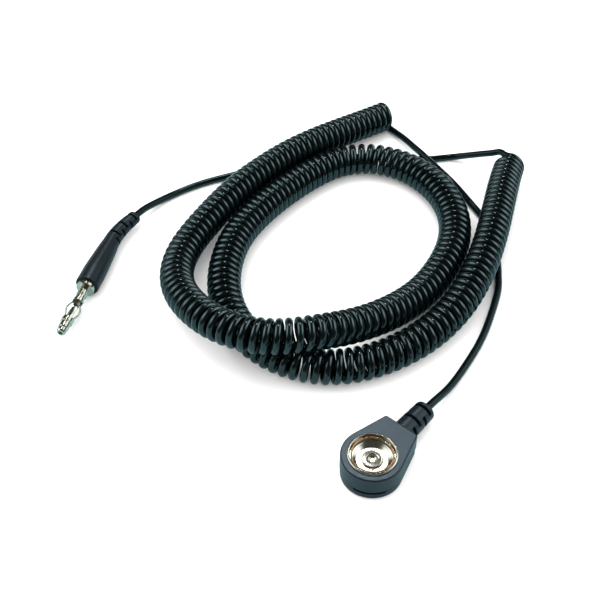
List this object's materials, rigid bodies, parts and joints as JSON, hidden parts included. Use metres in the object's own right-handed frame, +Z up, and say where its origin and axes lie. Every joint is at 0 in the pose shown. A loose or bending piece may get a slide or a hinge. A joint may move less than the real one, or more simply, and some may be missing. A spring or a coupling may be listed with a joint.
{
  "type": "coiled grounding cord",
  "caption": "Coiled anti-static grounding cord lying in two loops, with a lantern banana plug on one lead and a press-stud socket connector on the other.",
  "frame": {"origin": "centre of the footprint on the table the cord lies on", "axes": "+Z up from the table, +X to the right and +Y away as the cord is normally viewed, plug at -X"},
  "size_m": [0.1515, 0.1694, 0.0218],
  "materials": {
    "cable_jacket": "gloss black, faintly green",
    "tinsel_copper": "bare copper tinsel",
    "plug_moulding": "satin black",
    "snap_moulding": "satin blue-black",
    "nickel_plate": "nickel plate",
    "tinned_metal": "tin plate",
    "phosphor_bronze": "drawn wire",
    "resistor_coating": "lacquer",
    "heat_shrink": "satin"
  },
  "bodies": {
    "coil": {"coil_jacket_body": "cable_jacket", "coil_conductor_body": "tinsel_copper", "coil_jacket_stretch_zone": "cable_jacket", "coil_conductor_stretch_zone": "tinsel_copper", "snap_lead_rear_jacket": "cable_jacket", "snap_lead_rear_conductor": "tinsel_copper", "snap_lead_fixed_jacket": "cable_jacket", "snap_lead_fixed_conductor": "tinsel_copper", "plug_lead_fixed_jacket": "cable_jacket", "plug_lead_fixed_conductor": "tinsel_copper"},
    "coil_free_end": {"coil_jacket_free_end": "cable_jacket", "coil_conductor_free_end": "tinsel_copper"},
    "plug_lead": {"plug_lead_free_jacket": "cable_jacket", "plug_lead_free_conductor": "tinsel_copper"},
    "plug": {"plug_pin": "nickel_plate", "plug_tip": "nickel_plate", "plug_grip": "plug_moulding", "plug_crimp_barrel": "tinned_metal", "plug_strain_relief": "plug_moulding", "plug_lead_end_jacket": "cable_jacket", "plug_lead_end_conductor": "tinsel_copper"},
    "spring_leaf_1": {"plug_spring_leaf_1": "nickel_plate"},
    "spring_leaf_2": {"plug_spring_leaf_2": "nickel_plate"},
    "spring_leaf_3": {"plug_spring_leaf_3": "nickel_plate"},
    "spring_leaf_4": {"plug_spring_leaf_4": "nickel_plate"},
    "snap_lead": {"snap_lead_free_jacket": "cable_jacket", "snap_lead_free_conductor": "tinsel_copper"},
    "snap_connector": {"snap_housing_top": "snap_moulding", "snap_housing_base": "snap_moulding", "snap_socket_cup": "nickel_plate", "snap_eyelet": "nickel_plate", "snap_solder_tag": "tinned_metal", "snap_resistor_body": "resistor_coating", "snap_resistor_leads": "tinned_metal", "snap_crimp_ferrule": "tinned_metal", "snap_heat_shrink": "heat_shrink", "snap_strain_relief": "snap_moulding", "snap_lead_end_jacket": "cable_jacket", "snap_lead_end_conductor": "tinsel_copper"},
    "spring_half_left": {"snap_spring_half_left": "phosphor_bronze"},
    "spring_half_right": {"snap_spring_half_right": "phosphor_bronze"}
  },
  "joints": [
    {"name": "coil_stretch", "type": "slide", "parent": "coil", "child": "coil_free_end", "axis": [0.4822, 0.876, 0], "range_m": [0, 0.024], "deforming": ["coil_jacket_stretch_zone", "coil_conductor_stretch_zone", "snap_lead_rear_jacket", "snap_lead_rear_conductor"]},
    {"name": "plug_lead_swing", "type": "hinge", "parent": "coil", "child": "plug_lead", "pos_m": [-0.02951, 0.04922, 0.00115], "axis": [0, 0, 1], "range_deg": [-25, 3]},
    {"name": "plug_bend", "type": "hinge", "parent": "plug_lead", "child": "plug", "pos_m": [-0.05781, 0.02532, 0.0038], "axis": [0, 0, 1], "range_deg": [-20, 12]},
    {"name": "spring_leaf_1_press", "type": "slide", "parent": "plug", "child": "spring_leaf_1", "axis": [-0.4964, 0.1256, -0.859], "range_m": [0, 0.00035], "stiffness_N_per_m": 2000},
    {"name": "spring_leaf_2_press", "type": "slide", "parent": "plug", "child": "spring_leaf_2", "axis": [0.8327, -0.2107, -0.512], "range_m": [0, 0.00035], "stiffness_N_per_m": 2000},
    {"name": "spring_leaf_3_press", "type": "slide", "parent": "plug", "child": "spring_leaf_3", "axis": [0.4964, -0.1256, 0.859], "range_m": [0, 0.00035], "stiffness_N_per_m": 2000},
    {"name": "spring_leaf_4_press", "type": "slide", "parent": "plug", "child": "spring_leaf_4", "axis": [-0.8327, 0.2107, 0.512], "range_m": [0, 0.00035], "stiffness_N_per_m": 2000},
    {"name": "snap_lead_swing", "type": "hinge", "parent": "coil", "child": "snap_lead", "pos_m": [0.06089, -0.00138, 0.00115], "axis": [0, 0, 1], "range_deg": [-4, 25]},
    {"name": "snap_bend", "type": "hinge", "parent": "snap_lead", "child": "snap_connector", "pos_m": [0.03272, -0.05734, 0.004], "axis": [0, 0, 1], "range_deg": [-20, 20]},
    {"name": "spring_half_left_open", "type": "slide", "parent": "snap_connector", "child": "spring_half_left", "axis": [-0.7593, 0.6508, 0], "range_m": [0, 0.0002], "stiffness_N_per_m": 100},
    {"name": "spring_half_right_open", "type": "slide", "parent": "snap_connector", "child": "spring_half_right", "axis": [0.7593, -0.6508, 0], "range_m": [0, 0.0002], "stiffness_N_per_m": 100}
  ],
  "couplings": [
    {"joint": "spring_leaf_2_press", "follows": "spring_leaf_1_press", "ratio": 1},
    {"joint": "spring_leaf_3_press", "follows": "spring_leaf_1_press", "ratio": 1},
    {"joint": "spring_leaf_4_press", "follows": "spring_leaf_1_press", "ratio": 1},
    {"joint": "spring_half_right_open", "follows": "spring_half_left_open", "ratio": 1}
  ]
}
